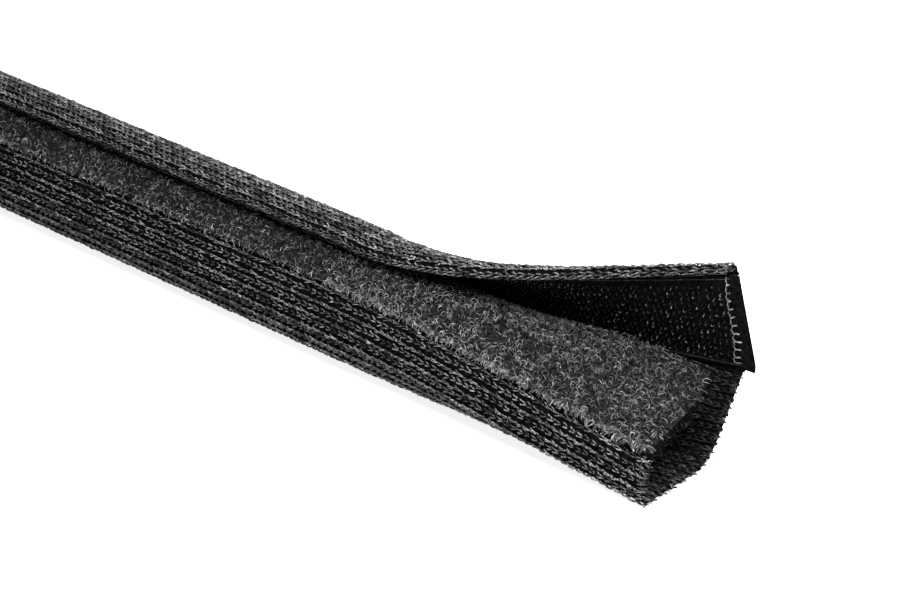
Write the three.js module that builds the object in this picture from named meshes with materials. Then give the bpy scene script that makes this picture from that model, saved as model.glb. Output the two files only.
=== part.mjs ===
// Cable sleeve of ribbed knit, closed along its length by a hook tape and a loop tape.
// One knit band is rolled into a tube. The loop tape is sewn on the outside of its tucked-in edge,
// the hook tape on the inside of its flap. The flap is pressed shut along most of the length and
// peeled open at the +X end. +Y is the back, +Z is up and the sleeve lies on its lowest ribs.
import * as THREE from 'three';

// Driving dimensions, in millimetres
const sleeveLength = 200;
const boreDiameter = 20;
const knitThickness = 1.5;
const ribPitch = 1.5; // one wale of the knit
const ribGroove = 0.25; // groove between the two ribs of a pair
const pairGroove = 0.5; // groove between pairs
const innerRibPitch = 3;
const innerRibGroove = 0.3;
const ribPoints = 4; // points drawn across a rib of the knit, and across a row of hooks
const hookRowPoints = 3;
const loopTapeWidth = 20;
const loopTapeInset = 0.3; // knit left free at the tucked-in edge
const hookTapeWidth = 20;
const hookTapeOverhang = 1.3; // the hook tape sticks out past the mouth
const hookTapeSlant = 1.5; // and its end is cut askew, so much further out at the fold
const flapMargin = 3.5; // knit beyond the hook tape, along the flap's free edge
const loopShowingWidth = 6; // loop tape left uncovered when the flap is shut
const tapeWeb = 0.4; // woven ground of both tapes
const pileHeight = 0.8;
const hookHeight = 0.7;
const hookRowPitch = 1.25;
const hookRowGroove = 0.45;
const selvedge = 1.5; // bare edge of a tape, where it is sewn
const threadWidth = 0.4;
const threadHeight = 0.22;
const layerGap = 0.2; // between the knit and a tape, and between a tape and its thread
const closedGap = 0.5; // between the hooks and the pile when shut
const restDip = 0.3; // how far the soft tube settles where it lies

// The opened mouth, in millimetres and degrees: lengths along the band and what each one turns by
const stripCurlLength = 7.5; // upturned edge of the tucked-in strip
const stripCurlTurn = -56;
const stripFlatTurn = -3;
const mouthEdgeHeading = 196.6; // direction of the band where the loop tape ends and the wall starts
const upperCornerLength = 1.5;
const upperCornerTurn = 73.4;
const frontWallLength = 5.5;
const lowerCornerLength = 2.5;
const lowerCornerTurn = 88;
const bottomLength = 11;
const bottomTurn = 4;
const backCornerLength = 8;
const backCornerTurn = 56;
const rootLength = 2.5; // fold line of the flap
const rootTurn = 45;
const flapEdgeTurn = 130; // the free edge curls over towards the front
const closedEdgeTurn = 20;
const flapBow = 34; // bow of the half-peeled flap
const closedEdgeHeading = 227;
const mouthSetBack = 4; // front wall of the mouth, behind the front of the closed tube

// How the peeled shape fades into the closed one
const peelLength = 67;
const mouthFadePower = 1.6;
const setBackFadePower = 3.2;
const flapFadePower = 0.8;
const peeledStep = 6.2; // spacing of the sections
const closedStep = 34;
const walkStep = 0.25; // step along the band
const seatStep = 1.5; // spacing of the points where a tape lies on the knit
const marginStep = 0.9;

// Radii of the closed roll: the wall, the strip tucked inside it and the flap lapped over it
const radians = Math.PI / 180;
const halfKnit = knitThickness / 2;
const ringRadius = boreDiameter / 2 + halfKnit;
const lapStep = knitThickness + 2 * layerGap + 2 * tapeWeb + pileHeight + hookHeight + closedGap;
const flapWidth = hookTapeWidth + flapMargin;
const flapAngle = flapWidth / (ringRadius + lapStep / 2);
const showingAngle = loopShowingWidth / (ringRadius - lapStep / 2);
const wallWidth = ringRadius * (2 * Math.PI - flapAngle - showingAngle);
const wallAngle = (wallWidth - upperCornerLength) / ringRadius;
const tuckTop = lapStep * (lapStep + 2 * ringRadius * Math.cos(wallAngle));
const tuckDepth = tuckTop / (2 * lapStep - 2 * ringRadius * (1 - Math.cos(wallAngle)));
const stripRadius = ringRadius - tuckDepth;
const flapRadius = stripRadius + lapStep;
const centreOffset = flapRadius - ringRadius;
const edgeKink = Math.asin((-centreOffset * Math.sin(wallAngle)) / stripRadius) / radians;
const backWallLength =
  wallWidth - upperCornerLength - frontWallLength - lowerCornerLength - bottomLength - backCornerLength;

// A stretch of the band turns by one amount when shut and by another when peeled
function stretch(length, closedRadius, openTurn, { extraClosedTurn = 0, inFlap = false, bow = 0 } = {}) {
  const closedTurn = length / closedRadius / radians + extraClosedTurn;
  return { length, closedTurn, openTurn, inFlap, bow };
}

const edgeCurl = { extraClosedTurn: closedEdgeTurn, inFlap: true };
const stretches = [
  stretch(stripCurlLength, stripRadius, stripCurlTurn),
  stretch(loopTapeWidth - stripCurlLength, stripRadius, stripFlatTurn),
  stretch(upperCornerLength, ringRadius, upperCornerTurn, { extraClosedTurn: edgeKink }),
  stretch(frontWallLength, ringRadius, 0),
  stretch(lowerCornerLength, ringRadius, lowerCornerTurn),
  stretch(bottomLength, ringRadius, bottomTurn),
  stretch(backCornerLength, ringRadius, backCornerTurn),
  stretch(backWallLength, ringRadius, 0),
  stretch(rootLength, flapRadius, rootTurn, { inFlap: true }),
  stretch(hookTapeWidth - rootLength, flapRadius, 0, { inFlap: true, bow: flapBow }),
  stretch(flapMargin, flapRadius, flapEdgeTurn, edgeCurl),
];
const wallStart = loopTapeWidth;
const wallEnd = wallStart + wallWidth;
const tapeEnd = wallEnd + hookTapeWidth;
const bandWidth = tapeEnd + flapMargin;

// 1 at the mouth, falling to 0 where the peel ends
function fade(fromMouth, power) {
  return Math.max(0, 1 - Math.max(0, fromMouth) / peelLength) ** power;
}

// The band's middle line at a distance from the mouth, as points with their outward direction
function walkBand(fromMouth) {
  const mouth = fade(fromMouth, mouthFadePower);
  const peel = fade(fromMouth, flapFadePower);
  const turnOf = (part) => {
    const weight = part.inFlap ? peel : mouth;
    const bowed = part.bow * weight * (1 - weight);
    return part.closedTurn * (1 - weight) + part.openTurn * weight + bowed;
  };
  const stripTurn = turnOf(stretches[0]) + turnOf(stretches[1]);
  let heading = closedEdgeHeading * (1 - mouth) + mouthEdgeHeading * mouth - stripTurn;
  let [y, z, along] = [0, 0, 0];
  const points = [{ along, y, z, heading }];
  for (const part of stretches) {
    const steps = Math.ceil(part.length / walkStep);
    const turn = turnOf(part) / steps;
    const step = part.length / steps;
    for (let i = 0; i < steps; i += 1) {
      y += step * Math.cos((heading + turn / 2) * radians);
      z += step * Math.sin((heading + turn / 2) * radians);
      heading += turn;
      along += step;
      points.push({ along, y, z, heading });
    }
  }
  return settle(points, mouthSetBack * fade(fromMouth, setBackFadePower));
}

// Sets the walked line on the ground, a little sunk and pressed flat, with its front wall in line
function settle(points, setBack) {
  const wall = points.filter((p) => p.along > wallStart && p.along < wallEnd);
  const front = Math.min(...wall.map((p) => p.y));
  const low = Math.min(...wall.map((p) => p.z));
  return points.map((p) => {
    const height = p.z - low - restDip;
    const y = p.y - front + setBack;
    const z = halfKnit + Math.max(0, height);
    return { along: p.along, y, z, heading: height < 0 ? 2 * Math.PI : p.heading * radians };
  });
}

// A point at a place along the band, lifted off its middle line towards the outside
function pointOn(line, along, lift) {
  let i = 1;
  while (i < line.length - 1 && line[i].along < along) {
    i += 1;
  }
  const [a, b] = [line[i - 1], line[i]];
  const t = THREE.MathUtils.clamp((along - a.along) / (b.along - a.along), 0, 1);
  const heading = THREE.MathUtils.lerp(a.heading, b.heading, t);
  const y = THREE.MathUtils.lerp(a.y, b.y, t) + lift * Math.sin(heading);
  const z = THREE.MathUtils.lerp(a.z, b.z, t) - lift * Math.cos(heading);
  return new THREE.Vector2(y, z);
}

// Each layer is an outer and an inner face, listed as places along the band with their lift
function spread(from, to, spacing, lift) {
  const steps = Math.ceil((to - from) / spacing);
  return Array.from({ length: steps + 1 }, (_, i) => [from + ((to - from) * i) / steps, lift]);
}

// Ribs with narrow grooves between them
function ribbed(from, to, pitch, pointsEach, depthOf, crest, side) {
  const ribs = Math.round((to - from) / pitch);
  const total = ribs * pointsEach;
  return Array.from({ length: total + 1 }, (_, i) => {
    const depth = i % pointsEach === 0 ? depthOf(i / pointsEach) : 0;
    return [from + ((to - from) * i) / total, side * (crest - depth)];
  });
}

function knitFaces() {
  const underTape = [[0, halfKnit], ...spread(loopTapeInset, wallStart, seatStep, halfKnit).slice(0, -1)];
  const pairs = (rib) => (rib % 2 === 0 ? pairGroove : ribGroove);
  const ribs = ribbed(wallStart, bandWidth, ribPitch, ribPoints, pairs, halfKnit, 1);
  const inStrip = spread(0, wallStart, seatStep, -halfKnit).slice(0, -1);
  const innerDepth = () => innerRibGroove;
  const innerRibs = ribbed(wallStart, wallEnd, innerRibPitch, ribPoints, innerDepth, halfKnit, -1);
  const overHooks = spread(wallEnd, tapeEnd, seatStep, -halfKnit).slice(1);
  const margin = spread(tapeEnd, bandWidth, marginStep, -halfKnit).slice(1);
  return { outer: [...underTape, ...ribs], inner: [...inStrip, ...innerRibs, ...overHooks, ...margin] };
}

function loopTapeFaces() {
  const base = halfKnit + layerGap;
  const web = base + tapeWeb;
  const [from, to] = [loopTapeInset, loopTapeWidth];
  const shoulder = pileHeight / 2;
  const pile = spread(from + selvedge + shoulder, to - selvedge - shoulder, seatStep, web + pileHeight);
  const outer = [[from, web], [from + selvedge, web], ...pile, [to - selvedge, web], [to, web]];
  return { outer, inner: spread(from, to, seatStep, base) };
}

function hookTapeFaces() {
  const base = -halfKnit - layerGap;
  const web = base - tapeWeb;
  const [from, to] = [wallEnd, tapeEnd];
  const [fieldFrom, fieldTo] = [from + selvedge, to - selvedge];
  const rowDepth = () => hookRowGroove;
  const rows = ribbed(fieldFrom, fieldTo, hookRowPitch, hookRowPoints, rowDepth, hookHeight - web, -1);
  const inner = [[from, web], [fieldFrom, web], ...rows.slice(1, -1), [fieldTo, web], [to, web]];
  return { outer: spread(from, to, seatStep, base), inner };
}

// A seam's thread lies along the middle of a selvedge, on the side that faces the other tape
function threadFaces(middle, side) {
  const seat = side * (halfKnit + layerGap + tapeWeb + layerGap);
  const top = seat + side * threadHeight;
  const wide = [[middle - threadWidth / 2, seat], [middle + threadWidth / 2, seat]];
  const narrow = [[middle - threadWidth / 4, top], [middle + threadWidth / 4, top]];
  return side > 0 ? { outer: narrow, inner: wide } : { outer: wide, inner: narrow };
}

// Distances of the sections from the mouth: close together where it peels, wide apart where it is shut
function sectionPlaces(overhang) {
  const places = overhang > 0 ? [-overhang] : [];
  const fadeEnd = Math.min(peelLength, sleeveLength - closedStep);
  const peeledCount = Math.ceil(fadeEnd / peeledStep);
  const closedCount = Math.ceil((sleeveLength - fadeEnd) / closedStep);
  for (let i = 0; i < peeledCount; i += 1) {
    places.push((fadeEnd * i) / peeledCount);
  }
  for (let i = 0; i <= closedCount; i += 1) {
    places.push(fadeEnd + ((sleeveLength - fadeEnd) * i) / closedCount);
  }
  return places;
}

// The flat end of a layer: triangles between its faces, in step along the band
function endFace({ outer, inner }) {
  const last = outer.length + inner.length - 1;
  const triangles = [];
  let [i, j] = [0, 0];
  while (i < outer.length - 1 || j < inner.length - 1) {
    const outerNext = outer[i + 1]?.[0] ?? Infinity;
    const innerNext = inner[j + 1]?.[0] ?? Infinity;
    if (outerNext <= innerNext) {
      triangles.push(i, i + 1, last - j);
      i += 1;
    } else {
      triangles.push(i, last - j - 1, last - j);
      j += 1;
    }
  }
  return triangles;
}

// A closed skin through a layer's outline at every section
function loft(faces, overhang = 0) {
  const outline = [...faces.outer, ...[...faces.inner].reverse()];
  const count = outline.length;
  const places = sectionPlaces(overhang);
  const positions = places.flatMap((place) => {
    const line = walkBand(place);
    return outline.flatMap(([along, lift]) => {
      const point = pointOn(line, along, lift);
      const askew = place < 0 ? (hookTapeSlant * (tapeEnd - along)) / hookTapeWidth : 0;
      return [askew - place, point.x, point.y];
    });
  });
  const triangles = [];
  for (let i = 0; i < places.length - 1; i += 1) {
    for (let j = 0; j < count; j += 1) {
      const [a, b] = [i * count + j, i * count + ((j + 1) % count)];
      triangles.push(a, b + count, b, a, a + count, b + count);
    }
  }
  const mouthEnd = endFace(faces);
  const farRing = (places.length - 1) * count;
  triangles.push(...mouthEnd, ...mouthEnd.map((corner) => farRing + corner).reverse());
  const geometry = new THREE.BufferGeometry();
  geometry.setAttribute('position', new THREE.Float32BufferAttribute(positions, 3));
  geometry.setIndex(triangles);
  geometry.computeVertexNormals();
  return geometry;
}

function addPiece(name, geometry, color, roughness) {
  const material = new THREE.MeshStandardMaterial({ color, roughness, metalness: 0 });
  const mesh = new THREE.Mesh(geometry, material);
  mesh.name = name;
  sleeve.add(mesh);
}

const sleeve = new THREE.Group();
addPiece('knit_sleeve', loft(knitFaces()), 0x343434, 0.9);
addPiece('loop_tape', loft(loopTapeFaces()), 0x464646, 1);
addPiece('hook_tape', loft(hookTapeFaces(), hookTapeOverhang), 0x101010, 0.6);

const seamInset = selvedge / 2;
addPiece('loop_seam_inner', loft(threadFaces(loopTapeInset + seamInset, 1)), 0x202020, 0.7);
addPiece('loop_seam_outer', loft(threadFaces(loopTapeWidth - seamInset, 1)), 0x202020, 0.7);
addPiece('hook_seam_root', loft(threadFaces(wallEnd + seamInset, -1)), 0x202020, 0.7);
addPiece('hook_seam_edge', loft(threadFaces(tapeEnd - seamInset, -1)), 0x202020, 0.7);

// The origin is under the middle of the sleeve, on the ground
const extent = new THREE.Box3().setFromObject(sleeve);
const centre = extent.getCenter(new THREE.Vector3());
sleeve.position.set(-centre.x, -centre.y, -extent.min.z);
sleeve.updateMatrixWorld(true);

export default sleeve;
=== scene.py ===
import math

import bmesh
import bpy
import numpy as np
from mathutils import Matrix, Vector


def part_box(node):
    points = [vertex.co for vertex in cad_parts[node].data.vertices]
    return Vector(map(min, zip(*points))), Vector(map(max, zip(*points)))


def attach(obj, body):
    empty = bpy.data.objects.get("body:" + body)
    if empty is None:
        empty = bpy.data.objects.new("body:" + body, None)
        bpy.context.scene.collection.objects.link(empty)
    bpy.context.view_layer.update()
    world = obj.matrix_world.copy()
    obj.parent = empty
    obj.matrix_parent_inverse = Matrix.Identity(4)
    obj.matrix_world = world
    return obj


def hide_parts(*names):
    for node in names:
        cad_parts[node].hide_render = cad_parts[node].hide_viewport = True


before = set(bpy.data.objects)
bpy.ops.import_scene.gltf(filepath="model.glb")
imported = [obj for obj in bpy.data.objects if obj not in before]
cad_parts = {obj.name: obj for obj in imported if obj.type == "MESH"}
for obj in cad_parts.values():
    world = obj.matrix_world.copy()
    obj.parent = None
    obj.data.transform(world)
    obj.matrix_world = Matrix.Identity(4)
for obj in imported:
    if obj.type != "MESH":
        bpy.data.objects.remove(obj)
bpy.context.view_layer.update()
mm = 0.001
scene = bpy.context.scene
print("frame loaded")

# The sleeve is one band of knit, worked flat and then rolled up. Flat places are in millimetres:
# across the band from its tucked-in edge, away from the mouth, and lift off the band's middle.
band = {
    "length": 200.0,
    "bore": 20.0,  # inside the shut tube
    "thickness": 1.5,
    "loopTape": 20.0,
    "hookTape": 20.0,
    "overhang": 1.3,  # hook tape past the knit, at the free edge
    "slant": 1.5,  # and this much more at the fold
    "margin": 3.5,  # knit past the hook tape
    "showing": 6.0,  # loop tape left showing by the shut flap
    "web": 0.4,  # the woven part of both tapes
    "pile": 0.8,
    "hooks": 0.7,
    "layerGap": 0.2,  # between the knit and a tape
    "closedGap": 0.5,  # between the two shut tapes
    "selvedge": 1.5,
    "inset": 0.3,
    "restDip": 0.3,  # how far the tube is pressed flat by the ground
}
# The peeled mouth, in order across the band, with lengths in mm and turns in degrees.
mouthShape = {
    "curlLength": 7.5, "curlTurn": -56.0, "stripTurn": -3.0,  # the tucked-in strip
    "edgeHeading": 196.6, "closedHeading": 227.0,  # where it ends, at the mouth and in the shut tube
    "upperCorner": 1.5, "upperTurn": 73.4, "frontWall": 5.5,
    "lowerCorner": 2.5, "lowerTurn": 88.0, "bottom": 11.0, "bottomTurn": 4.0,
    "backCorner": 8.0, "backTurn": 56.0,
    "root": 2.5, "rootTurn": 45.0, "bow": 34.0,  # the flap
    "marginTurn": 130.0, "closedMarginTurn": 20.0,
    "setBack": 4.0, "setBackPower": 3.2,  # how far back the mouth stands
    "peelLength": 67.0, "mouthPower": 1.6, "flapPower": 0.8,  # how far and how fast it all closes
}
walkStep = 0.25
halfKnit = band["thickness"] / 2
ringRadius = band["bore"] / 2 + halfKnit
lapStep = (band["thickness"] + 2 * band["layerGap"] + 2 * band["web"] + band["pile"]
           + band["hooks"] + band["closedGap"])
flapAngle = (band["hookTape"] + band["margin"]) / (ringRadius + lapStep / 2)
showingAngle = band["showing"] / (ringRadius - lapStep / 2)
wallWidth = ringRadius * (2 * math.pi - flapAngle - showingAngle)
wallAngle = (wallWidth - mouthShape["upperCorner"]) / ringRadius
tuckTop = lapStep * (lapStep + 2 * ringRadius * math.cos(wallAngle))
tuckDepth = tuckTop / (2 * lapStep - 2 * ringRadius * (1 - math.cos(wallAngle)))
stripRadius = ringRadius - tuckDepth
flapRadius = stripRadius + lapStep
edgeKink = math.degrees(math.asin(-(flapRadius - ringRadius) * math.sin(wallAngle) / stripRadius))
beforeBackWall = ("upperCorner", "frontWall", "lowerCorner", "bottom", "backCorner")
backWall = wallWidth - sum(mouthShape[k] for k in beforeBackWall)
wallStart = band["loopTape"]
wallEnd = wallStart + wallWidth
tapeEnd = wallEnd + band["hookTape"]
bandWidth = tapeEnd + band["margin"]


# A stretch of the section: its turn in the shut tube comes from its radius, its turn at the mouth is given.
def stretch(length, radius, openTurn, extra=0.0, inFlap=False, bow=0.0):
    return length, math.degrees(length / radius) + extra, openTurn, inFlap, bow


m = mouthShape
stretches = [
    stretch(m["curlLength"], stripRadius, m["curlTurn"]),
    stretch(band["loopTape"] - m["curlLength"], stripRadius, m["stripTurn"]),
    stretch(m["upperCorner"], ringRadius, m["upperTurn"], extra=edgeKink),
    stretch(m["frontWall"], ringRadius, 0.0),
    stretch(m["lowerCorner"], ringRadius, m["lowerTurn"]),
    stretch(m["bottom"], ringRadius, m["bottomTurn"]),
    stretch(m["backCorner"], ringRadius, m["backTurn"]),
    stretch(backWall, ringRadius, 0.0),
    stretch(m["root"], flapRadius, m["rootTurn"], inFlap=True),
    stretch(band["hookTape"] - m["root"], flapRadius, 0.0, inFlap=True, bow=m["bow"]),
    stretch(band["margin"], flapRadius, m["marginTurn"], extra=m["closedMarginTurn"], inFlap=True),
]


# 1 at the mouth, down to 0 where the flap is shut.
def fade(fromMouth, power):
    return max(0.0, 1 - max(0.0, fromMouth) / mouthShape["peelLength"]) ** power


# The section at one distance from the mouth: places along the band, their y and z, and the heading there.
def walkBand(fromMouth):
    mouth = fade(fromMouth, mouthShape["mouthPower"])
    peel = fade(fromMouth, mouthShape["flapPower"])
    turns, steps = [], []
    for length, closedTurn, openTurn, inFlap, bow in stretches:
        weight = peel if inFlap else mouth
        count = math.ceil(length / walkStep)
        turn = closedTurn * (1 - weight) + openTurn * weight + bow * weight * (1 - weight)
        turns += [turn / count] * count
        steps += [length / count] * count
    turns, steps = np.radians(turns), np.array(steps)
    stripSteps = sum(math.ceil(s[0] / walkStep) for s in stretches[:2])
    start = math.radians(mouthShape["closedHeading"] * (1 - mouth) + mouthShape["edgeHeading"] * mouth)
    start -= turns[:stripSteps].sum()
    heading = start + np.concatenate([[0], np.cumsum(turns)])
    middle = (heading[:-1] + heading[1:]) / 2
    across = np.concatenate([[0], np.cumsum(steps)])
    y = np.concatenate([[0], np.cumsum(steps * np.cos(middle))])
    z = np.concatenate([[0], np.cumsum(steps * np.sin(middle))])
    wall = (across > wallStart) & (across < wallEnd)
    y = y - y[wall].min() + mouthShape["setBack"] * fade(fromMouth, mouthShape["setBackPower"])
    height = z - z[wall].min() - band["restDip"]
    heading = np.where(height < 0, 2 * math.pi, heading)
    return across, y, halfKnit + np.maximum(0, height), heading


tableStep = 1.0
tableStart = -3.0
tableRows = [walkBand(v) for v in np.arange(tableStart, band["length"] - tableStart, tableStep)]
acrossTable = tableRows[0][0]
yTable, zTable, headingTable = (np.array([row[k] for row in tableRows]) for k in (1, 2, 3))
knitLow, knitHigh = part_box("knit_sleeve")
mouthX = knitHigh.x
yShift = knitLow.y + halfKnit * mm
print("band walked in", len(tableRows), "sections")


# Flat places (n, 3) in mm to rolled places in metres.
def rolled(flat):
    column = np.interp(flat[:, 0], acrossTable, np.arange(len(acrossTable)))
    lastRow = len(tableRows) - 1.001  # a little short, so that a next row is always there
    row = np.clip((flat[:, 1] - tableStart) / tableStep, 0, lastRow)
    c0 = np.minimum(column.astype(int), len(acrossTable) - 2)
    r0 = row.astype(int)
    c, r = column - c0, row - r0

    def sample(table):
        near = table[r0, c0] * (1 - c) + table[r0, c0 + 1] * c
        far = table[r0 + 1, c0] * (1 - c) + table[r0 + 1, c0 + 1] * c
        return near * (1 - r) + far * r

    heading = sample(headingTable)
    y = sample(yTable) + flat[:, 2] * np.sin(heading)
    z = sample(zTable) - flat[:, 2] * np.cos(heading)
    askew = np.clip(-flat[:, 1] / band["overhang"], 0, 1) * (tapeEnd - flat[:, 0]) / band["hookTape"]
    x = band["slant"] * askew - flat[:, 1]
    return np.stack([mouthX + x * mm, yShift + y * mm, z * mm], 1)


def getVerts(mesh):
    co = np.zeros(len(mesh.vertices) * 3, np.float32)
    mesh.vertices.foreach_get("co", co)
    return co.reshape(-1, 3).astype(float)


# Keeps the flat place of each point for the materials, then rolls the piece up.
def rollUp(piece):
    mesh = piece.data
    flat = getVerts(mesh)
    kept = mesh.attributes.new("flat", "FLOAT_VECTOR", "POINT")
    kept.data.foreach_set("vector", flat.astype(np.float32).ravel())
    mesh.vertices.foreach_set("co", rolled(flat).astype(np.float32).ravel())
    mesh.update()


def makePiece(name, bm, material, smooth=True):
    mesh = bpy.data.meshes.new(name)
    bm.to_mesh(mesh)
    bm.free()
    piece = bpy.data.objects.new(name, mesh)
    scene.collection.objects.link(piece)
    mesh.materials.append(material)
    mesh.polygons.foreach_set("use_smooth", [smooth] * len(mesh.polygons))
    return piece


# A closed tube along a path, by extruding a round face from point to point.
def sweepTube(bm, path, radius, sides):
    path = [Vector(p) for p in path]
    ahead, behind = path[1:] + path[-1:], path[:1] + path[:-1]
    tangents = [(a - b).normalized() for a, b in zip(ahead, behind)]
    spin = tangents[0].to_track_quat("Z", "Y").to_matrix().to_4x4()
    ring = bmesh.ops.create_circle(bm, cap_ends=True, segments=sides, radius=radius,
                                   matrix=Matrix.Translation(path[0]) @ spin)
    face = ring["verts"][0].link_faces[0]
    for i in range(1, len(path)):
        last = face
        grown = bmesh.ops.extrude_face_region(bm, geom=[face])["geom"]
        verts = [g for g in grown if isinstance(g, bmesh.types.BMVert)]
        face = [g for g in grown if isinstance(g, bmesh.types.BMFace)][0]
        if i > 1 and last.is_valid:
            bmesh.ops.delete(bm, geom=[last], context="FACES_ONLY")
        turn = tangents[i - 1].rotation_difference(tangents[i])
        bmesh.ops.rotate(bm, cent=path[i - 1], matrix=turn.to_matrix(), verts=verts)
        bmesh.ops.translate(bm, vec=path[i] - path[i - 1], verts=verts)


def unitMesh(build):
    bm = bmesh.new()
    build(bm)
    bmesh.ops.recalc_face_normals(bm, faces=bm.faces)
    bmesh.ops.triangulate(bm, faces=bm.faces)
    return bm


# Painted shade: darker in the depth of a shape, at full brightness on its top.
def crestTone(unit, low, high, least, power=1.5):
    rise = np.clip((unit[:, 2] - low) / (high - low), 0, 1)
    return least + (1 - least) * rise ** power


# Many copies of a small shape in one mesh, all in one place, with the copies' points in order.
def repeated(name, bm, count, material):
    unitCount = len(bm.verts)
    piece = makePiece(name, bm, material)
    array = piece.modifiers.new("copies", "ARRAY")
    array.count = count
    array.use_relative_offset = False
    array.use_constant_offset = False
    array.use_merge_vertices = False
    depsgraph = bpy.context.evaluated_depsgraph_get()
    many = bpy.data.meshes.new_from_object(piece.evaluated_get(depsgraph))
    piece.modifiers.clear()
    piece.data = many
    return piece, getVerts(many).reshape(count, unitCount, 3)


def setVerts(piece, points):
    piece.data.vertices.foreach_set("co", points.reshape(-1).astype(np.float32))
    piece.data.update()


# Per-copy tones times a per-point factor, holding random tones, painted shade and painted glints.
def setToneAndShading(piece, tones, shape=1.0):
    count = len(tones)
    values = np.broadcast_to(tones[:, None] * shape, (count, len(piece.data.vertices) // count))
    toneAndShading = piece.data.attributes.new("toneAndShading", "FLOAT", "POINT")
    toneAndShading.data.foreach_set("value", values.ravel().astype(np.float32))


# Turns each copy's points (n, k, 3) by its angle (n), about its own axis (n, 3) or one for all.
def turned(points, axis, angle):
    axis = np.broadcast_to(np.asarray(axis, float), (len(points), 3))
    axis = axis / np.linalg.norm(axis, axis=1, keepdims=True)
    a = axis[:, None, :]
    cos, sin = np.cos(angle)[:, None, None], np.sin(angle)[:, None, None]
    along = (points * a).sum(2, keepdims=True)
    across = np.cross(np.broadcast_to(a, points.shape), points)
    return points * cos + across * sin + a * along * (1 - cos)


# Materials
# Two greys, the roughness and how fine the specks are.
greys = {
    # The knit yarn's light grey is painted highlight on its shiny fibres, over its own near-black.
    "knit yarn": (0.004, 0.46, 0.45, 4.0),
    "knit ground": (0.001, 0.006, 0.95, 1.5),
    "loop fibre": (0.045, 0.37, 0.5, 1.5),
    "loop ground": (0.003, 0.022, 0.95, 2.0),
    "hook nylon": (0.01, 0.06, 0.3, 1.0),
    "hook ground": (0.001, 0.007, 0.8, 2.5),
    "seam thread": (0.01, 0.06, 0.5, 2.4),
    "loose thread": (0.2, 0.5, 0.5, 2.4),
}
surface = {
    "gloss": 0.1,  # more lifts the blacks
    "speckDetail": 3.0,
    "yarnStops": (0.38, 0.56, 0.72),
    "yarnMiddle": 0.45,  # share of the light grey at the middle stop
    "yarnGrain": 9.0,
    "yarnStretch": (1, 0.4, 1),
    "yarnDepth": 0.06,
    "groundStops": (0.35, 0.7),
    "groundDepth": 0.15,
    "blue": 1.02,
}


def newMaterial(name, roughness, gloss=surface["gloss"]):
    material = bpy.data.materials.new(name)
    material.use_nodes = True
    nodes, links = material.node_tree.nodes, material.node_tree.links
    shader = nodes["Principled BSDF"]
    shader.inputs["Roughness"].default_value = roughness
    shader.inputs["Specular IOR Level"].default_value = gloss
    return material, nodes, links, shader


def flatPlace(nodes):
    place = nodes.new("ShaderNodeAttribute")
    place.attribute_name = "flat"
    return place.outputs["Vector"]


def noise(nodes, links, place, scale, detail=2.0, stretchBy=(1, 1, 1)):
    mapping = nodes.new("ShaderNodeMapping")
    mapping.inputs["Scale"].default_value = stretchBy
    links.new(place, mapping.inputs["Vector"])
    texture = nodes.new("ShaderNodeTexNoise")
    texture.inputs["Scale"].default_value = scale
    texture.inputs["Detail"].default_value = detail
    links.new(mapping.outputs["Vector"], texture.inputs["Vector"])
    return texture.outputs["Fac"]


# Greys at places along 0 to 1.
def ramp(nodes, links, value, stops, shades):
    node = nodes.new("ShaderNodeValToRGB")
    elements = node.color_ramp.elements
    while len(elements) < len(stops):
        elements.new(0.5)
    for element, place, grey in zip(elements, stops, shades):
        element.position = place
        element.color = (grey, grey, grey * surface["blue"], 1)
    links.new(value, node.inputs["Fac"])
    return node.outputs["Color"]


def bump(nodes, links, shader, height, depth):
    node = nodes.new("ShaderNodeBump")
    node.inputs["Distance"].default_value = depth * mm
    links.new(height, node.inputs["Height"])
    links.new(node.outputs["Normal"], shader.inputs["Normal"])


# Spun yarn: fine specks of darker and lighter grey, times each point's tones and painted shade.
# On the knit yarn the dark grey is the yarn's own and the light specks are painted highlight on shiny fibres.
def yarnMaterial(name, dark, light, roughness, speckScale):
    material, nodes, links, shader = newMaterial(name, roughness)
    place = flatPlace(nodes)
    speck = noise(nodes, links, place, speckScale, surface["speckDetail"])
    shades = (dark, light * surface["yarnMiddle"], light)
    colour = ramp(nodes, links, speck, surface["yarnStops"], shades)
    toneAndShading = nodes.new("ShaderNodeAttribute")
    toneAndShading.attribute_name = "toneAndShading"
    mix = nodes.new("ShaderNodeMix")
    mix.data_type = "RGBA"
    mix.blend_type = "MULTIPLY"
    mix.inputs["Factor"].default_value = 1.0
    links.new(colour, mix.inputs[6])
    links.new(toneAndShading.outputs["Color"], mix.inputs[7])
    links.new(mix.outputs[2], shader.inputs["Base Color"])
    grain = noise(nodes, links, place, surface["yarnGrain"], stretchBy=surface["yarnStretch"])
    bump(nodes, links, shader, grain, surface["yarnDepth"])
    return material


# The dark bodies under stitches, pile and hooks, with no gloss at all.
def groundMaterial(name, dark, light, roughness, speckScale):
    material, nodes, links, shader = newMaterial(name, roughness, 0.0)
    speck = noise(nodes, links, flatPlace(nodes), speckScale, surface["speckDetail"])
    colour = ramp(nodes, links, speck, surface["groundStops"], (dark, light))
    links.new(colour, shader.inputs["Base Color"])
    bump(nodes, links, shader, speck, surface["groundDepth"])
    return material


yarns = {name: yarnMaterial(name, *grey) for name, grey in greys.items() if "ground" not in name}
grounds = {name: groundMaterial(name, *grey) for name, grey in greys.items() if "ground" in name}
print("materials made")

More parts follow.
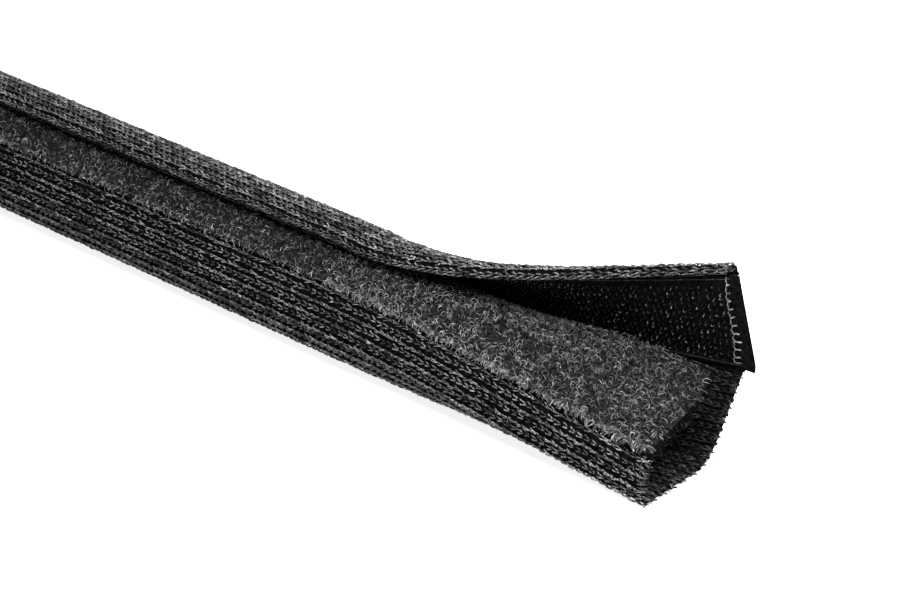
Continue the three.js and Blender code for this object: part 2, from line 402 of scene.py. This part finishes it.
# Camera and light
# The photograph was taken from in front of the mouth, to its right and above.
camera = {
    "azimuth": 41.7,
    "elevation": 28.3,
    "focal": 2828.0,  # in pixels of the photograph
    "frame": (900, 596),
    "mouthScale": 6.3,  # pixels to a mm at the mouth
    "mouthCorner": (98.6, -10.60, 1.4),  # this place of the mouth, in mm
    "mouthPixel": (645, 500),  # is seen here
    "sensor": 36.0,
    "clip": (0.01, 20.0),
}
studio = {
    "worldSeen": 1.0,
    "worldLight": 0.14,
    "floorSize": 3.0,
    "floorGrey": 0.9,
    "floorRoughness": 0.9,
    "floorGlow": 0.85,
    "key": {"place": (0.25, -0.14, 0.33), "target": (0.08, 0, 0), "size": 0.2, "power": 3.3},
    "top": {"place": (0.14, 0.26, 0.6), "target": (0.05, 0, 0), "size": 0.4, "power": 2.4},
}


def addCamera():
    a, e = math.radians(camera["azimuth"]), math.radians(camera["elevation"])
    right = Vector((math.cos(a), math.sin(a), 0))
    ahead = Vector((-math.sin(a) * math.cos(e), math.cos(a) * math.cos(e), -math.sin(e)))
    up = right.cross(ahead)
    width, height = camera["frame"]
    distance = camera["focal"] / camera["mouthScale"]
    aside = (camera["mouthPixel"][0] - width / 2) / camera["mouthScale"]
    above = -(camera["mouthPixel"][1] - height / 2) / camera["mouthScale"]
    corner = Vector(camera["mouthCorner"])
    eye = (corner - right * aside - up * above - ahead * distance) * mm
    lens = bpy.data.cameras.new("camera")
    lens.sensor_width = camera["sensor"]
    lens.lens = camera["focal"] * camera["sensor"] / width
    lens.clip_start, lens.clip_end = camera["clip"]
    eyeObject = bpy.data.objects.new("camera", lens)
    turn = Matrix((right, up, -ahead)).transposed().to_4x4()
    eyeObject.matrix_world = Matrix.Translation(eye) @ turn
    scene.collection.objects.link(eyeObject)
    scene.camera = eyeObject


def addLamp(name, place, target, size, power):
    lamp = bpy.data.lights.new(name, "AREA")
    lamp.shape = "DISK"
    lamp.size = size
    lamp.energy = power
    lampObject = bpy.data.objects.new(name, lamp)
    place, target = Vector(place), Vector(target)
    turn = (target - place).to_track_quat("-Z", "Y").to_matrix().to_4x4()
    lampObject.matrix_world = Matrix.Translation(place) @ turn
    scene.collection.objects.link(lampObject)


# White to the camera and in reflections, dim as a light.
def addWorld():
    world = bpy.data.worlds.new("studio")
    scene.world = world
    world.use_nodes = True
    nodes, links = world.node_tree.nodes, world.node_tree.links
    back = nodes["Background"]
    back.inputs["Color"].default_value = (1, 1, 1, 1)
    path = nodes.new("ShaderNodeLightPath")
    seen = nodes.new("ShaderNodeMath")
    seen.operation = "MAXIMUM"
    links.new(path.outputs["Is Camera Ray"], seen.inputs[0])
    links.new(path.outputs["Is Glossy Ray"], seen.inputs[1])
    level = nodes.new("ShaderNodeMapRange")
    level.inputs["To Min"].default_value = studio["worldLight"]
    level.inputs["To Max"].default_value = studio["worldSeen"]
    links.new(seen.outputs[0], level.inputs["Value"])
    links.new(level.outputs["Result"], back.inputs["Strength"])


# A floor that takes soft shadows and glows only to the camera, so that it blends into the white.
def addFloor():
    bm = bmesh.new()
    bmesh.ops.create_grid(bm, x_segments=1, y_segments=1, size=studio["floorSize"])
    material, nodes, links, shader = newMaterial("floor", studio["floorRoughness"])
    shader.inputs["Base Color"].default_value = (studio["floorGrey"],) * 3 + (1,)
    path = nodes.new("ShaderNodeLightPath")
    glow = nodes.new("ShaderNodeEmission")
    glow.inputs["Color"].default_value = (1, 1, 1, 1)
    glow.inputs["Strength"].default_value = studio["floorGlow"]
    join = nodes.new("ShaderNodeAddShader")
    pick = nodes.new("ShaderNodeMixShader")
    links.new(shader.outputs[0], join.inputs[0])
    links.new(glow.outputs[0], join.inputs[1])
    links.new(path.outputs["Is Camera Ray"], pick.inputs["Fac"])
    links.new(shader.outputs[0], pick.inputs[1])
    links.new(join.outputs[0], pick.inputs[2])
    links.new(pick.outputs[0], nodes["Material Output"].inputs["Surface"])
    makePiece("floor", bm, material, False)


addCamera()
addWorld()
addFloor()
addLamp("key", **studio["key"])
addLamp("top", **studio["top"])
scene.view_settings.view_transform = "Standard"
print("camera and light set")

# Knit
knit = {
    "wales": 50,
    "course": 1.4,
    "yarnRadius": 0.16,
    "sides": 4,
    "leg": [(0.10, -0.25, 0.10), (0.20, 0.25, 0.42), (0.40, 0.85, 0.48), (0.44, 1.45, 0.12)],
    "lifted": 0.2,
    "pairSink": 0.3,  # how much lower every second wale of the wall lies
    "flapSink": 0.12,  # and of the flap
    "wallWidths": (0.45, 0.92),  # of the stitches in the high wales and in the low ones
    "flapWidths": (0.86, 0.86),
    "slip": 0.09,  # how far a stitch may be out of place
    "liftSlip": 0.8,  # share of the slip that goes up and down
    "sizeSpread": 0.08,
    "twist": 0.22,
    "pastEnds": (0.15, 0.2),
    "edgeInset": 0.35,
    "toneSpread": 0.75,
    # Painted shade: the lower wales are drawn this much darker.
    "sunkShade": 0.9,
    # Painted shade: the front wall, the flap and its free edge are drawn this much darker than the back wall.
    "frontShade": 0.9,
    "flapShade": 0.8,
    "edgeShade": 0.7,
    # Painted shade by height within each stitch, for the high wales and the low ones.
    "lineShading": (-0.1, 0.45, 0.1, 1.2),  # see crestTone, for the high wales
    "dotShading": (0.1, 0.6, 0.04, 2.5),  # and for the low ones
    "innerLift": 0.22,
    "innerRun": 16,  # courses drawn inside, from the mouth
    "farRun": 7,  # and from the far end
    # Painted shade: stitches inside the tube and under the tucked-in strip are drawn this much darker.
    "innerShade": 0.15,
    "stripShade": 0.05,
    "stripStart": 0.5,
    "stripWales": 12,
    "marginStart": 0.4,  # past the hook tape
    "marginWales": 2,
    "seed": 7,
}
wale = (bandWidth - wallStart) / knit["wales"]
knitBody = {
    "step": 0.5,
    "course": 2.5,
    "sheet": 0.4,  # thickness at first, before top and bottom are put in place
    "top": 0.3,  # lifts up and down from the band's middle
    "bottom": 0.5,
    "ribPitch": 3.0,
    "ribDepth": 0.35,
}


# The band itself, a dark body under the stitches, with ribs on its inside.
def knitGround():
    across = int(bandWidth / knitBody["step"])
    along = int(band["length"] / knitBody["course"])
    bm = bmesh.new()
    bmesh.ops.create_grid(bm, x_segments=across, y_segments=along, size=0.5)
    bmesh.ops.scale(bm, vec=(bandWidth, band["length"], 1), verts=bm.verts)
    bmesh.ops.translate(bm, vec=(bandWidth / 2, band["length"] / 2, 0), verts=bm.verts)
    bmesh.ops.solidify(bm, geom=bm.faces[:], thickness=knitBody["sheet"])
    for vert in bm.verts:
        u = vert.co.x
        groove = 0.0
        if wallStart < u < wallEnd:
            rib = abs(math.sin(math.pi * (u - wallStart) / knitBody["ribPitch"]))
            groove = knitBody["ribDepth"] * (1 - rib) ** 2
        if vert.co.z > -knitBody["sheet"] / 2:
            vert.co.z = halfKnit if u < wallStart else knitBody["top"]
        else:
            vert.co.z = groove - knitBody["bottom"]
    bmesh.ops.recalc_face_normals(bm, faces=bm.faces)
    piece = makePiece("knit_band", bm, grounds["knit ground"])
    rollUp(piece)
    return piece


def stitch(bm):
    for side in (-1, 1):
        sweepTube(bm, [(side * u, v, w) for u, v, w in knit["leg"]], knit["yarnRadius"], knit["sides"])


# A field of stitches: wales run along the sleeve, and every second one lies a little lower.
# The lower wales, the shade argument and the height of each point darken the stitches as painted shade.
def knitRows(name, start, wales, courses, firstCourse=0, side=1, lift=None, lean=0.0, shade=1.0,
             widths=knit["flapWidths"], pairSink=knit["flapSink"]):
    rng = np.random.default_rng(knit["seed"] + int(start * 10) + (1 if side < 0 else 0))
    count = wales * courses
    piece, points = repeated(name, unitMesh(stitch), count, yarns["knit yarn"])
    heightShades = crestTone(points[0], *knit["lineShading"]), crestTone(points[0], *knit["dotShading"])
    row, course = np.meshgrid(np.arange(wales), np.arange(courses), indexing="ij")
    row, course = row.ravel(), course.ravel() + firstCourse
    even = (row + round((start - wallStart) / wale)) % 2 == 0
    if lift is None:
        lift = knit["lifted"] - np.where(even, 0.0, pairSink)
    lift = np.broadcast_to(lift, count)
    seat = np.stack([start + (row + 0.5) * wale, course * knit["course"], lift], 1)
    seat += rng.uniform(-knit["slip"], knit["slip"], seat.shape) * (1, 1, knit["liftSlip"])
    points = points * rng.uniform(1 - knit["sizeSpread"], 1 + knit["sizeSpread"], count)[:, None, None]
    points[:, :, 0] *= np.where(even, *widths)[:, None]
    points = turned(points, (0, 0, 1), rng.uniform(-knit["twist"], knit["twist"], count))
    if lean:
        points = turned(points, (0, 1, 0), np.full(count, math.radians(lean)))
        seat[:, 0] = start + rng.uniform(-knit["slip"], knit["slip"], count)
    points = points + seat[:, None, :]
    points[:, :, 2] *= side
    pastMouth, pastFarEnd = knit["pastEnds"]
    points[:, :, 1] = np.clip(points[:, :, 1], -pastMouth, band["length"] + pastFarEnd)
    setVerts(piece, points)
    if side < 0:
        piece.data.flip_normals()
    tones = shade * (1 + rng.uniform(-knit["toneSpread"], knit["toneSpread"], count))
    tones = np.where(even, tones, tones * knit["sunkShade"])
    setToneAndShading(piece, tones, np.where(even[:, None], *heightShades))
    rollUp(piece)
    return piece


# Short fibres and cut yarn ends, with places from the band's edges and ends, and lifts off its middle.
fuzz = {
    "endCount": 1500,
    "faceCount": 1000,
    "path": [(-0.5, 0, 0), (-0.2, 0.15, 0.1), (0.15, 0.12, 0.16), (0.5, -0.1, 0)],
    "radius": 0.06,
    "sides": 3,
    "sizes": (0.3, 0.65),
    "mouthShare": 0.72,  # of the fibres at the ends
    "edges": (0.3, 0.2),
    "mouthRun": (-0.15, 0.5),
    "farRun": (-0.1, 0.4),
    "stripLift": (-0.75, 0.5),
    "endLift": (-0.75, 0.85),
    "faceLift": (0.6, 0.85),
    "pastEnds": (0.5, 0.4),
    "liftLimits": (-0.9, 0.95),
    "tones": (0.3, 1.6),
    # Painted shade on the fibres of the tucked-in strip, inside the tube.
    "stripFuzzShade": 0.12,
    "seed": 57,
}


def fibre(bm):
    sweepTube(bm, fuzz["path"], fuzz["radius"], fuzz["sides"])


def knitFuzz():
    rng = np.random.default_rng(fuzz["seed"])
    length = band["length"]
    count = fuzz["endCount"] + fuzz["faceCount"]
    piece, points = repeated("knit_fuzz", unitMesh(fibre), count, yarns["knit yarn"])
    onFace = np.arange(count) >= fuzz["endCount"]
    atMouth = rng.random(count) < fuzz["mouthShare"]
    u = rng.uniform(fuzz["edges"][0], bandWidth - fuzz["edges"][1], count)
    v = np.where(atMouth, rng.uniform(*fuzz["mouthRun"], count), length - rng.uniform(*fuzz["farRun"], count))
    onStrip = u < wallStart
    lift = np.where(onStrip, rng.uniform(*fuzz["stripLift"], count), rng.uniform(*fuzz["endLift"], count))
    u = np.where(onFace, rng.uniform(wallStart, bandWidth, count), u)
    v = np.where(onFace, rng.uniform(0, length, count), v)
    lift = np.where(onFace, rng.uniform(*fuzz["faceLift"], count), lift)
    points = points * rng.uniform(*fuzz["sizes"], count)[:, None, None]
    points = turned(points, rng.normal(size=(count, 3)), rng.uniform(0, 2 * math.pi, count))
    points = points + np.stack([u, v, lift], 1)[:, None, :]
    pastMouth, pastFarEnd = fuzz["pastEnds"]
    points[:, :, 1] = np.clip(points[:, :, 1], -pastMouth, length + pastFarEnd)
    points[:, :, 2] = np.clip(points[:, :, 2], *fuzz["liftLimits"])
    setVerts(piece, points)
    setToneAndShading(piece, rng.uniform(*fuzz["tones"], count) * np.where(u < wallStart, fuzz["stripFuzzShade"], 1))
    rollUp(piece)
    return piece


courseCount = int(band["length"] / knit["course"])
wallWales = int(wallWidth / wale)
frontWales = wallWales // 2
flapWales = knit["wales"] - wallWales
edgeInset = knit["edgeInset"]
wall = {"widths": knit["wallWidths"], "pairSink": knit["pairSink"]}
inside = {"side": -1, "lift": knit["innerLift"]}
shadedInside = {**inside, "shade": knit["innerShade"]}
strip = {**inside, "shade": knit["stripShade"]}
farCourse = courseCount - knit["farRun"]
ground = knitGround()
knitPieces = [
    knitRows("knit_wall_front", wallStart, frontWales, courseCount, shade=knit["frontShade"], **wall),
    knitRows("knit_wall_back", wallStart + frontWales * wale, wallWales - frontWales, courseCount, **wall),
    knitRows("knit_flap", wallStart + wallWales * wale, flapWales, courseCount, shade=knit["flapShade"]),
    knitRows("knit_edge", bandWidth - edgeInset, 1, courseCount, lean=90, shade=knit["edgeShade"]),
    knitRows("knit_back_edge", edgeInset, 1, courseCount, lean=-90),
    knitRows("knit_inside", wallStart, wallWales, knit["innerRun"], **shadedInside),
    knitRows("knit_far_inside", wallStart, wallWales, knit["farRun"], farCourse, **shadedInside),
    knitRows("knit_under_strip", knit["stripStart"], knit["stripWales"], knit["innerRun"], 1, **strip),
    knitRows("knit_margin_inside", tapeEnd + knit["marginStart"], knit["marginWales"], courseCount, **inside),
    knitFuzz(),
]
print("knit done", [len(p.data.polygons) for p in knitPieces])

# Loop tape
loops = {
    "openCount": 5100,  # curls on the part that the peeled flap leaves bare
    "shutCount": 3200,  # and on the strip that shows beside the shut flap
    "openRadius": 0.4,
    "shutRadius": 0.33,
    # Painted shadow of the flap: the pile's share of brightness at its inner side.
    "openFlapShadow": 0.85,
    "shutFlapShadow": 0.5,
    "shutEdge": 12.0,
    "fibre": 0.13,
    "sides": 3,
    "steps": 7,
    "sweep": 250.0,  # degrees of a curl
    "coil": 0.25,
    "sunk": 0.2,
    "sizes": (0.6, 1.3),
    "axis": (1, 1, 0.2),
    "tilt": 1.2,
    "lift": 0.3,  # above the web
    "rootDepth": 0.05,
    "edges": (0.05, 0.5),  # how far in and how far out the pile may reach
    "pastEnds": 0.25,
    "pastWeb": 0.1,
    "edgeShare": 0.12,  # of the curls crowd at the outer edge
    "edgeSpread": 0.5,
    "tones": (0.2, 1.8),
    "step": 1.0,
    "seed": 21,
}


# A flat woven tape from one lift to another.
def tapeGround(name, start, width, vStart, inner, outer, step, material):
    length = band["length"] - vStart
    bm = bmesh.new()
    bmesh.ops.create_grid(bm, x_segments=int(width / step), y_segments=int(length / (2 * step)), size=0.5)
    bmesh.ops.scale(bm, vec=(width, length, 1), verts=bm.verts)
    bmesh.ops.translate(bm, vec=(start + width / 2, vStart + length / 2, outer), verts=bm.verts)
    bmesh.ops.solidify(bm, geom=bm.faces[:], thickness=outer - inner)
    bmesh.ops.recalc_face_normals(bm, faces=bm.faces)
    piece = makePiece(name, bm, material)
    rollUp(piece)
    return piece


def curl(bm):
    angles = math.radians(loops["sweep"]) * (np.arange(loops["steps"]) / (loops["steps"] - 1) - 0.5)
    path = [(math.sin(a), loops["coil"] * a, math.cos(a) - loops["sunk"]) for a in angles]
    sweepTube(bm, path, loops["fibre"], loops["sides"])


# Curled fibres over a stretch of the loop tape, lighter towards its outer edge: painted shadow of the flap.
def loopPile(name, count, across, along, radius, flapShadow):
    rng = np.random.default_rng(loops["seed"] + count)
    piece, points = repeated(name, unitMesh(curl), count, yarns["loop fibre"])
    u = rng.uniform(*across, count)
    v = rng.uniform(*along, count)
    atEdge = rng.random(count) < loops["edgeShare"]
    u = np.where(atEdge, across[1] - rng.exponential(loops["edgeSpread"], count), u)
    web = halfKnit + band["layerGap"] + band["web"]
    points = points * (radius * rng.uniform(*loops["sizes"], count))[:, None, None]
    axis = rng.normal(size=(count, 3)) * loops["axis"]
    points = turned(points, axis, rng.uniform(-loops["tilt"], loops["tilt"], count))
    points = turned(points, (0, 0, 1), rng.uniform(0, 2 * math.pi, count))
    points = points + np.stack([u, v, np.full(count, web + loops["lift"])], 1)[:, None, :]
    pastEnds = loops["pastEnds"]
    points[:, :, 0] = np.clip(points[:, :, 0], loops["edges"][0], band["loopTape"] + loops["edges"][1])
    points[:, :, 1] = np.clip(points[:, :, 1], -pastEnds, band["length"] + pastEnds)
    points[:, :, 2] = np.clip(points[:, :, 2], web - loops["rootDepth"], web + band["pile"])
    setVerts(piece, points)
    edge = np.clip((u - loops["shutEdge"]) / (band["loopTape"] - loops["shutEdge"]), 0, 1)
    setToneAndShading(piece, rng.uniform(*loops["tones"], count) * (flapShadow + (1 - flapShadow) * edge))
    rollUp(piece)
    return piece


loopBase = halfKnit + band["layerGap"]
loopWeb = tapeGround("loop_web", band["inset"], band["loopTape"] - band["inset"], 0.0,
                     loopBase, loopBase + band["web"], loops["step"], grounds["loop ground"])
peelEnd = mouthShape["peelLength"]
pileEdge = band["loopTape"] + loops["pastWeb"]
piles = [
    loopPile("loop_pile_open", loops["openCount"], (band["inset"], pileEdge), (0.0, peelEnd),
             loops["openRadius"], loops["openFlapShadow"]),
    loopPile("loop_pile_shut", loops["shutCount"], (loops["shutEdge"], pileEdge), (peelEnd, band["length"]),
             loops["shutRadius"], loops["shutFlapShadow"]),
]
print("loop tape done", [len(p.data.polygons) for p in piles])

# Hook tape
hooks = {
    "row": 1.2,
    "along": 1.05,
    "run": 72.0,  # from the mouth, as far as the hooks are seen
    "stem": [(0, 0, 0), (0.02, 0, 0.28), (0.10, 0, 0.50),
             (0.26, 0, 0.62), (0.42, 0, 0.56), (0.48, 0, 0.42)],
    "radius": 0.07,
    "sides": 4,
    "sealed": 1.5,  # bare end of the tape
    "firstRow": 0.4,
    "firstHook": 0.5,
    "turnSpread": 0.5,
    "slip": 0.12,
    "rootDepth": 0.03,
    # Painted shade by height: darker at the root of each hook.
    "crest": (0.3, 0.65, 0.1),  # see crestTone
    # Painted glints: most hooks keep the dull share and a few are drawn far lighter.
    "dull": 0.6,
    "glint": 9,
    "glintPower": 3,  # the higher, the fewer bright hooks
    "step": 1.0,
    "seed": 5,
}


def hook(bm):
    sweepTube(bm, hooks["stem"], hooks["radius"], hooks["sides"])


def hookField():
    rng = np.random.default_rng(hooks["seed"])
    selvedge = band["selvedge"]
    us = np.arange(wallEnd + selvedge + hooks["firstRow"], tapeEnd - selvedge, hooks["row"])
    vs = np.arange(-band["overhang"] + hooks["sealed"] + hooks["firstHook"], hooks["run"], hooks["along"])
    u, v = (grid.ravel() for grid in np.meshgrid(us, vs, indexing="ij"))
    count = len(u)
    piece, points = repeated("hook_field", unitMesh(hook), count, yarns["hook nylon"])
    # Painted shade low on each hook, at full brightness at its top.
    shape = crestTone(points[0], *hooks["crest"])
    facing = np.where(rng.random(count) < 0.5, 0, math.pi)
    facing = facing + rng.uniform(-hooks["turnSpread"], hooks["turnSpread"], count)
    points = turned(points, (0, 0, 1), facing)
    base = halfKnit + band["layerGap"] + band["web"] - hooks["rootDepth"]
    points = points + np.stack([u, v, np.full(count, base)], 1)[:, None, :]
    points[:, :, :2] += rng.uniform(-hooks["slip"], hooks["slip"], (count, 1, 2))
    points[:, :, 2] *= -1
    setVerts(piece, points)
    piece.data.flip_normals()
    setToneAndShading(piece, hooks["dull"] + hooks["glint"] * rng.random(count) ** hooks["glintPower"], shape)
    rollUp(piece)
    return piece


hookBase = -(halfKnit + band["layerGap"])
hookGround = tapeGround("hook_web", wallEnd, band["hookTape"], -band["overhang"],
                        hookBase - band["web"], hookBase, hooks["step"], grounds["hook ground"])
hookPiece = hookField()
print("hook tape done", len(hookPiece.data.polygons))

# Seams
seams = {
    "stitch": 2.4,
    "radius": 0.11,
    "rise": 0.08,
    "lift": 0.02,
    "sides": 5,
    "steps": 6,
}
# One loose thread runs in uneven loops over the hook tape's end, one along the flap's free edge.
loose = {
    "radius": 0.055,
    "sides": 5,
    "endSteps": 120,
    "endLoops": 11,
    "endInset": 0.6,
    "endTrim": 1.6,
    "endSway": 0.45,
    "swing": 0.2,
    "swingGain": 0.45,
    "fromEnd": 0.55,
    "drift": 0.2,
    "driftTurn": 7,
    "offTape": 0.25,
    "wave": 0.12,
    "edgeSteps": 160,
    "edgeInset": 0.1,
    "edgeTrim": 0.2,
    "edgeLift": -0.66,
    "edgeWobble": 0.05,
    "seed": 3,
}


def seamStitch(bm):
    path = []
    for share in np.arange(seams["steps"]) / (seams["steps"] - 1):
        path.append((0, share * seams["stitch"], seams["rise"] * math.sin(math.pi * share) + seams["lift"]))
    sweepTube(bm, path, seams["radius"], seams["sides"])


def seam(name, across, side):
    count = int(band["length"] / seams["stitch"])
    piece, points = repeated(name, unitMesh(seamStitch), count, yarns["seam thread"])
    web = np.full(count, halfKnit + band["layerGap"] + band["web"])
    seat = np.stack([np.full(count, across), np.arange(count) * seams["stitch"], web], 1)
    points = points + seat[:, None, :]
    points[:, :, 2] *= side
    setVerts(piece, points)
    if side < 0:
        piece.data.flip_normals()
    setToneAndShading(piece, np.ones(count))
    rollUp(piece)
    return piece


# A thread laid along a path of flat places.
def looseThread(name, path):
    bm = bmesh.new()
    sweepTube(bm, path, loose["radius"], loose["sides"])
    piece = makePiece(name, bm, yarns["loose thread"])
    setToneAndShading(piece, np.ones(1))
    rollUp(piece)
    return piece


def endThread():
    rng = np.random.default_rng(loose["seed"])
    tapeFace = -(halfKnit + band["layerGap"] + band["web"] + loose["offTape"])
    path = []
    for share in np.arange(loose["endSteps"]) / (loose["endSteps"] - 1):
        angle = share * loose["endLoops"] * 2 * math.pi
        swing = (loose["swing"] + loose["swingGain"] * share) * (0.5 + rng.random())
        across = tapeEnd - loose["endInset"] - share * (band["hookTape"] - loose["endTrim"])
        across += loose["endSway"] * math.cos(angle)
        away = loose["fromEnd"] + loose["drift"] * math.sin(loose["driftTurn"] * share)
        away += swing * math.sin(angle)
        path.append((across, away, tapeFace - loose["wave"] * math.cos(2 * angle)))
    return looseThread("end_thread", path)


def edgeThread():
    rng = np.random.default_rng(loose["seed"] + 1)
    along = np.linspace(loose["edgeTrim"], band["length"] - loose["edgeTrim"], loose["edgeSteps"])
    lift = loose["edgeLift"] + rng.uniform(-loose["edgeWobble"], loose["edgeWobble"], loose["edgeSteps"])
    return looseThread("edge_thread", [(bandWidth - loose["edgeInset"], v, w) for v, w in zip(along, lift)])


seamInset = band["selvedge"] / 2
seamPieces = {
    "loop_seam_inner": seam("seam_loop_inner", band["inset"] + seamInset, 1),
    "loop_seam_outer": seam("seam_loop_outer", band["loopTape"] - seamInset, 1),
    "hook_seam_root": seam("seam_hook_root", wallEnd + seamInset, -1),
    "hook_seam_edge": seam("seam_hook_edge", tapeEnd - seamInset, -1),
}
threads = [endThread(), edgeThread()]
print("seams done")

# Handing over
slots = {
    "knit": [ground, *knitPieces],
    "loop_pile": [loopWeb, *piles],
    "hook_tape": [hookGround, hookPiece],
    "thread": [*seamPieces.values(), *threads],
}
for slot, pieces in slots.items():
    for piece in pieces:
        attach(piece, "root")
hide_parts("knit_sleeve")
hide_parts("loop_tape")
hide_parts("hook_tape")
for node, piece in seamPieces.items():
    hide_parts(node)
